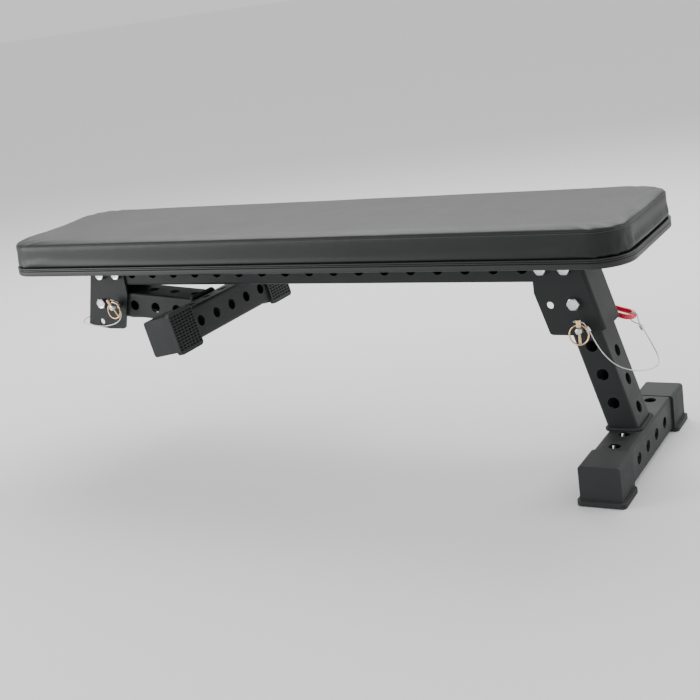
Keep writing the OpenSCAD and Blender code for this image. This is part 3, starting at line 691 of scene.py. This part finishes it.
staple_pitch = 0.04
staple_inset = 0.022
staple_length = 0.011
staple_wire = 0.0009
staple_steel = material(
    "staple_steel", (0.5, 0.5, 0.51), (0.68, 0.68, 0.69), (0.3, 0.45), metal=1.0, bump=0.00002, scale=2000,
    mottle=200,
)
staple_tree, t_in, t_out = geometry_tree(
    "staples_along_a_line", {"Pitch": 0.04, "Length": 0.011, "Wire": 0.0009}
)
t_line = added(staple_tree, "GeometryNodeMeshToCurve", None, n0=t_in.outputs["Geometry"])
t_points = added(
    staple_tree, "GeometryNodeCurveToPoints", {"mode": "LENGTH"}, Curve=t_line.outputs[0],
    Length=t_in.outputs["Pitch"],
)
t_size = added(
    staple_tree, "ShaderNodeCombineXYZ", None, X=t_in.outputs["Wire"], Y=t_in.outputs["Wire"],
    Z=t_in.outputs["Length"],
)
t_bar = added(staple_tree, "GeometryNodeMeshCube", None, Size=t_size.outputs[0])
t_place = added(
    staple_tree, "GeometryNodeInstanceOnPoints", None, Points=t_points.outputs["Points"],
    Instance=t_bar.outputs[0],
    Rotation=t_points.outputs["Rotation"],
)
close_tree(staple_tree, t_out, t_place.outputs[0], staple_steel)
staples = grown(
    welt_line("board_staples", board_low.z, staple_inset), staple_tree, Pitch=staple_pitch,
    Length=staple_length, Wire=staple_wire
)
finished(staples, None, "bench_frame", "covered_board")

# ---- Spine, brackets, pad plates and legs
# Welded and drilled box tube and folded plate, powder coated in fine-textured charcoal. Sharp
# edges and hole rims get a painted highlight in a lighter colour, and faces that look up are
# painted lighter, a painted light from above.
powder = material(
    "textured_powder_coat", (0.0075, 0.0094, 0.0102), (0.011, 0.0134, 0.0142), (0.48, 0.6),
    bump=0.00022, scale=1100, mottle=14,
    settings={"Specular IOR Level": 0.33}, lit_edges=((0.09, 0.096, 0.1), 0.0012, 3.0), top_lit=0.06,
)
coated(
    powder, "spine_tube", "left_bracket", "right_bracket", "left_pad_plate", "right_pad_plate",
    "left_leg_post", "right_leg_post", "left_foot_tube", "right_foot_tube",
)

# ---- Plugs, bushes and washers
# Moulded plastic plugs close the spine and the legs. Steel bushes are pressed through the
# legs and spacer tubes through the spine, and nylon washers keep the legs off the plates.
plug_plastic = material(
    "plug_plastic", (0.012, 0.012, 0.013), (0.02, 0.02, 0.021), (0.42, 0.55), bump=0.0001, scale=1600,
    mottle=20,
)
spacer_steel = material(
    "spacer_steel", (0.3, 0.3, 0.31), (0.46, 0.46, 0.47), (0.35, 0.5), metal=1.0, bump=0.00005, scale=900,
    mottle=60,
)
washer_nylon = material(
    "washer_nylon", (0.7, 0.7, 0.68), (0.8, 0.8, 0.78), (0.4, 0.5), bump=0.00005, scale=1200, mottle=30,
    settings={"Subsurface Weight": 0.1},
)
coated(plug_plastic, "left_spine_plug", "right_spine_plug", "left_leg_plug", "right_leg_plug")
coated(spacer_steel, "left_spine_sleeves", "right_spine_sleeves", "left_pivot_bush", "right_pivot_bush")
coated(washer_nylon, "left_thrust_washers", "right_thrust_washers")

# ---- Bolts and nuts
# Six M12 hex bolts, bright zinc plated and chamfered on top, go right through the brackets:
# four clamp the spine and two are the legs' pivots. Lock nuts sit on washers behind.
hex_flat = 0.019
head_height = 0.0075
nut_height = 0.012
shank_radius = 0.006
plain_beyond = 0.0154
end_chamfer = 0.001
# Everything in bright zinc gets a near-white painted highlight along its edges.
bright_zinc = material(
    "bright_zinc", (0.6, 0.61, 0.63), (0.8, 0.81, 0.83), (0.2, 0.34), metal=1.0, bump=0.00004,
    scale=1500, mottle=90,
    lit_edges=((0.9, 0.9, 0.92), 0.0004, 2.0),
)


def hex_mesh(name, height, chamfer, dish):
    """A hexagon with a turned, chamfered top, lying along -Y from its seat at y = 0."""
    work = bmesh.new()
    corner = hex_flat / math.sqrt(3)
    count = 48
    rings = []
    for radius_cap, y in (
        (corner, 0), (corner, -height + chamfer), (corner - chamfer * 0.55, -height + chamfer * 0.42),
        (hex_flat / 2 - chamfer * 0.5, -height), (hex_flat * 0.33, -height + dish), (
            hex_flat * 0.1, -height + dish
        ),
    ):
        ring = []
        for k in range(count):
            a = 2 * math.pi * k / count
            flat_at = hex_flat / 2 / math.cos((a + math.pi / 6) % (math.pi / 3) - math.pi / 6)
            radius = min(radius_cap, flat_at)
            ring.append(work.verts.new((radius * math.sin(a), y, radius * math.cos(a))))
        rings.append(ring)
    for low, high in zip(rings, rings[1:]):
        for k in range(count):
            work.faces.new((low[k], low[(k + 1) % count], high[(k + 1) % count], high[k]))
    work.faces.new(rings[0])
    work.faces.new(list(reversed(rings[-1])))
    bmesh.ops.recalc_face_normals(work, faces=work.faces)
    mesh = bpy.data.meshes.new(name)
    work.to_mesh(mesh)
    work.free()
    return mesh


def lathe_y(name, profile, count=40):
    """A closed turned shape about a line along Y, from pairs of y and radius, the ends on the axis."""
    work = bmesh.new()
    rings = []
    for y, radius in profile:
        if radius == 0:
            rings.append([work.verts.new((0, y, 0))])
        else:
            rings.append([
                work.verts.new(
                    (
                        radius * math.cos(2 * math.pi * k / count), y,
                        radius * math.sin(2 * math.pi * k / count),
                    )
                )
                for k in range(count)
            ])
    for low, high in zip(rings, rings[1:]):
        for k in range(count):
            around = [
                low[k % len(low)], low[(k + 1) % len(low)], high[(k + 1) % len(high)], high[k % len(high)]
            ]
            unique = list(dict.fromkeys(around))
            if len(unique) > 2:
                work.faces.new(unique)
    bmesh.ops.recalc_face_normals(work, faces=work.faces)
    mesh = bpy.data.meshes.new(name)
    work.to_mesh(mesh)
    work.free()
    return mesh


def joined(name, meshes_and_places):
    """One mesh from several, each moved by its place."""
    work = bmesh.new()
    for mesh, place in meshes_and_places:
        copy = mesh.copy()
        copy.transform(Matrix.Translation(place))
        work.from_mesh(copy)
        bpy.data.meshes.remove(copy)
    mesh = bpy.data.meshes.new(name)
    work.to_mesh(mesh)
    work.free()
    return mesh


def middles(node):
    """The centre of each separate solid in a CAD node, from its loose triangles."""
    data = nodes[node].data
    cloud = np.array([v.co for v in data.vertices], float)
    found = []
    for x, y, z in cloud:
        for group in found:
            if abs(group[0][0] - x) < 0.02 and abs(group[0][1] - z) < 0.02:
                group.append((x, z))
                break
        else:
            found.append([(x, z)])
    return [tuple((np.max(g, axis=0) + np.min(g, axis=0)) / 2) for g in map(np.array, found)]


bolt_places = []
for node in ("left_spine_bolts", "right_spine_bolts", "left_pivot_bolt", "right_pivot_bolt"):
    bolt_places += middles(node)
plate_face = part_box("right_bracket")[1].y
washer_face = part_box("right_pivot_nut")[0].y
bolt_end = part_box("right_pivot_bolt")[1].y

hardware_tree, h_in, h_out = geometry_tree("hardware_on_points", {})
hardware_tree.interface.new_socket(name="Part", in_out="INPUT", socket_type="NodeSocketObject")
h_in = next(n for n in hardware_tree.nodes if n.type == "GROUP_INPUT")
h_info = added(hardware_tree, "GeometryNodeObjectInfo", None, Object=h_in.outputs["Part"])
h_place = added(
    hardware_tree, "GeometryNodeInstanceOnPoints", None, Points=h_in.outputs["Geometry"],
    Instance=h_info.outputs["Geometry"]
)
close_tree(hardware_tree, h_out, h_place.outputs[0], bright_zinc)


def set_out(name, part_mesh, places):
    """The part repeated at each place by Geometry Nodes, as one piece."""
    part = linked(name + "_part", part_mesh)
    points = bpy.data.meshes.new(name)
    points.from_pydata([tuple(p) for p in places], [], [])
    piece = linked(name, points)
    piece = grown(piece, hardware_tree, Part=part)
    bpy.data.objects.remove(part)
    return piece


shank = lathe_y(
    "shank",
    [
        (0, 0), (0, shank_radius), (2 * plate_face + plain_beyond, shank_radius),
        (bolt_end + plate_face - end_chamfer, shank_radius),
        (bolt_end + plate_face, shank_radius - end_chamfer), (bolt_end + plate_face, 0),
    ],
)
bolt_part = joined(
    "hex_bolt", [(hex_mesh("head", head_height, 0.0018, 0.0004), (0, 0, 0)), (shank, (0, 0, 0))]
)
bolts = set_out("hex_bolts", bolt_part, [(x, -plate_face, z) for x, z in bolt_places])
finished(
    bolts, None, "bench_frame", "zinc_steel", "left_spine_bolts", "right_spine_bolts",
    "left_pivot_bolt", "right_pivot_bolt"
)
nut_mesh = hex_mesh("lock_nut", nut_height, 0.0026, 0.0006)
nut_mesh.transform(Matrix.Rotation(math.pi, 4, "Z"))
nuts = set_out("lock_nuts", nut_mesh, [(x, washer_face, z) for x, z in bolt_places])
finished(
    nuts, None, "bench_frame", "zinc_steel", "left_spine_nuts", "right_spine_nuts", "left_pivot_nut",
    "right_pivot_nut"
)
coated(bright_zinc, "left_nut_washers", "right_nut_washers", "pad_screws")

# ---- Lock pins
# Each is a turned 12 mm steel pin, bright plated. It goes right through the bracket and the
# leg, has a rounded near end for the lynch pin, and a collar where the handle is fixed.
pin_radius = 0.006
collar_radius = 0.009
collar_height = 0.006
collar_gap = 0.0003
weld_depth = 0.003
for side in ("left", "right"):
    low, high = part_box(f"{side}_lock_pin")
    collar_y = plate_face + collar_gap
    neck_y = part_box(f"{side}_pin_grip")[0].y + weld_depth
    pin = linked(
        f"{side}_turned_pin",
        lathe_y(f"{side}_turned_pin", [
            (low.y, 0), (low.y, pin_radius - 0.003), (low.y + 0.0005, pin_radius - 0.0014),
            (low.y + 0.0014, pin_radius - 0.0004), (low.y + 0.0028, pin_radius), (collar_y, pin_radius),
            (collar_y, collar_radius - 0.0006), (collar_y + 0.0006, collar_radius),
            (collar_y + collar_height - 0.0006, collar_radius), (
                collar_y + collar_height, collar_radius - 0.0006
            ),
            (collar_y + collar_height, pin_radius - 0.001), (neck_y, pin_radius - 0.001), (neck_y, 0),
        ]),
    )
    pin.data.transform(Matrix.Translation(((low.x + high.x) / 2, 0, (low.z + high.z) / 2)))
    finished(pin, bright_zinc, f"{side}_pin", "zinc_steel", f"{side}_lock_pin")

# ---- Handles
# A closed loop of steel rod welded to the pin's end, so that it lies out towards +X, and dipped
# in red plastisol, which leaves it glossy and a little uneven. Each droops by its weight.
rod_radius = 0.0045
loop_radius = 0.014
handle_droop = math.radians(15)
red_dip = material(
    "red_dip", (0.68, 0.009, 0.035), (0.76, 0.014, 0.05), (0.2, 0.3), bump=0.00003, scale=500, mottle=25,
    settings={"Coat Weight": 0.4, "Coat Roughness": 0.15, "Specular IOR Level": 0.5},
)
loop_tree, l_in, l_out = geometry_tree("rod_along_a_loop", {"Radius": 0.0045, "Sides": 28})
l_line = added(loop_tree, "GeometryNodeMeshToCurve", None, n0=l_in.outputs["Geometry"])
l_place = added(loop_tree, "GeometryNodeInputPosition").outputs[0]
l_noise = added(loop_tree, "ShaderNodeTexNoise", None, Vector=l_place, Scale=60.0, Detail=1.0)
l_swell = added(
    loop_tree, "ShaderNodeMapRange", None, Value=l_noise.outputs["Fac"], From_Min=0.3, From_Max=0.7,
    To_Min=0.97, To_Max=1.02
)
l_round = added(
    loop_tree, "GeometryNodeCurvePrimitiveCircle", None, Radius=l_in.outputs["Radius"],
    Resolution=l_in.outputs["Sides"],
)
l_sized = added(
    loop_tree, "GeometryNodeSetCurveRadius", None, Curve=l_line.outputs[0], Radius=l_swell.outputs["Result"]
)
l_tube = added(
    loop_tree, "GeometryNodeCurveToMesh", None, Curve=l_sized.outputs[0], Profile_Curve=l_round.outputs[0]
)
if "Scale" in l_tube.inputs:
    loop_tree.links.new(l_swell.outputs["Result"], l_tube.inputs["Scale"])
l_smooth = added(loop_tree, "GeometryNodeSetShadeSmooth", None, n0=l_tube.outputs[0])
close_tree(loop_tree, l_out, l_smooth.outputs[0], red_dip)
for side in ("left", "right"):
    low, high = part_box(f"{side}_pin_grip")
    pin_low, pin_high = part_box(f"{side}_lock_pin")
    hung = (pin_low + pin_high) / 2
    reach = (high.x - hung.x - rod_radius - loop_radius) / math.cos(handle_droop)
    ring = outline(reach / 2 + loop_radius, loop_radius, loop_radius, 24, 8)
    line = bpy.data.meshes.new(f"{side}_dipped_handle")
    count = len(ring)
    keep = [k for k in range(count) if np.linalg.norm(ring[k] - ring[k - 1]) > 1e-6]
    line.from_pydata(
        [
            (
                hung.x + (reach / 2 + ring[k][0]) * math.cos(handle_droop),
                low.y + rod_radius + loop_radius + ring[k][1],
                hung.z - (reach / 2 + ring[k][0]) * math.sin(handle_droop),
            )
            for k in keep
        ],
        [(k, (k + 1) % len(keep)) for k in range(len(keep))], [],
    )
    handle = grown(linked(f"{side}_dipped_handle", line), loop_tree, Radius=rod_radius, Sides=28)
    finished(handle, None, f"{side}_pin", "red_dip", f"{side}_pin_grip")

# ---- Lynch pins
# A short bar with a drilled round head, dropped through the lock pin's cross hole, and a
# sprung wire ring that snaps over the pin's end. Both are yellow zinc plated.
yellow_zinc = material(
    "yellow_zinc", (0.72, 0.42, 0.2), (0.86, 0.68, 0.4), (0.2, 0.34), metal=1.0, bump=0.00004,
    scale=1200, mottle=70,
)
coated(yellow_zinc, "left_lynch_pin", "right_lynch_pin", "left_spring_ring", "right_spring_ring")

# ---- Foot caps
# Black moulded rubber caps pushed over the ends of the feet. They flare out at the floor
# and their treads are a waffle of small pockets.
# The caps get a lighter painted highlight along their edges, and their faces that look up are painted
# lighter, a painted light from above.
rubber = material(
    "cap_rubber", (0.012, 0.014, 0.015), (0.018, 0.0205, 0.0215), (0.6, 0.75), bump=0.0001, scale=1300,
    mottle=25,
    settings={"Specular IOR Level": 0.4}, lit_edges=((0.06, 0.064, 0.066), 0.0015, 2.5), top_lit=0.08,
)
coated(rubber, "left_foot_cap_near", "left_foot_cap_far", "right_foot_cap_near", "right_foot_cap_far")

# ---- Welds
# A rippled fillet weld goes right round the foot of each leg where it stands on the foot
# tube, under the powder coat.
ripple_pitch = 0.0026
ripple_size = 0.0042
weld_reach = 0.0025
weld_sink = 0.0004
weld_tree, e_in, e_out = geometry_tree("weld_ripples", {"Pitch": 0.0026, "Size": 0.004})
e_line = added(weld_tree, "GeometryNodeMeshToCurve", None, n0=e_in.outputs["Geometry"])
e_points = added(
    weld_tree, "GeometryNodeCurveToPoints", {"mode": "LENGTH"}, Curve=e_line.outputs[0],
    Length=e_in.outputs["Pitch"],
)
e_ball = added(weld_tree, "GeometryNodeMeshUVSphere", None, Segments=12, Rings=7, Radius=1.0)
e_thin = added(weld_tree, "ShaderNodeMath", {"operation": "MULTIPLY"}, n0=e_in.outputs["Size"], n1=0.55)
e_size = added(
    weld_tree, "ShaderNodeCombineXYZ", None, X=e_in.outputs["Size"], Y=e_in.outputs["Size"],
    Z=e_thin.outputs[0],
)
e_place = added(
    weld_tree, "GeometryNodeInstanceOnPoints", None, Points=e_points.outputs["Points"],
    Instance=e_ball.outputs[0],
    Rotation=e_points.outputs["Rotation"], Scale=e_size.outputs[0],
)
e_smooth = added(weld_tree, "GeometryNodeSetShadeSmooth", None, n0=e_place.outputs[0])
close_tree(weld_tree, e_out, e_smooth.outputs[0], powder)
right_low, right_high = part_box("right_weld_bead")
weld_middle = (right_low + right_high) / 2
fold = next(j for j in frame["joints"] if j["name"] == "left_leg_unfold")
for side in ("left", "right"):
    ring = outline(
        (right_high.x - right_low.x) / 2 - weld_reach, (right_high.y - right_low.y) / 2 - weld_reach, 0.006,
        8, 12,
    )
    line = bpy.data.meshes.new(f"{side}_weld_ripples")
    count = len(ring)
    line.from_pydata(
        [(weld_middle.x + x, y, right_low.z + weld_sink) for x, y in ring],
        [(k, (k + 1) % count) for k in range(count)], []
    )
    if side == "left":
        # The folded leg is the unfolded one mirrored and turned about its own pivot.
        pivot = Matrix.Translation((fold["pos_m"][0], 0, fold["pos_m"][2]))
        turn = Matrix.Rotation(-math.radians(fold["range_deg"][1]), 4, "Y")
        line.transform(pivot @ turn @ pivot.inverted() @ Matrix.Diagonal((-1, 1, 1, 1)))
    weld = grown(linked(f"{side}_weld_ripples", line), weld_tree, Pitch=ripple_pitch, Size=ripple_size)
    finished(weld, None, f"{side}_leg", "coated_weld", f"{side}_weld_bead")
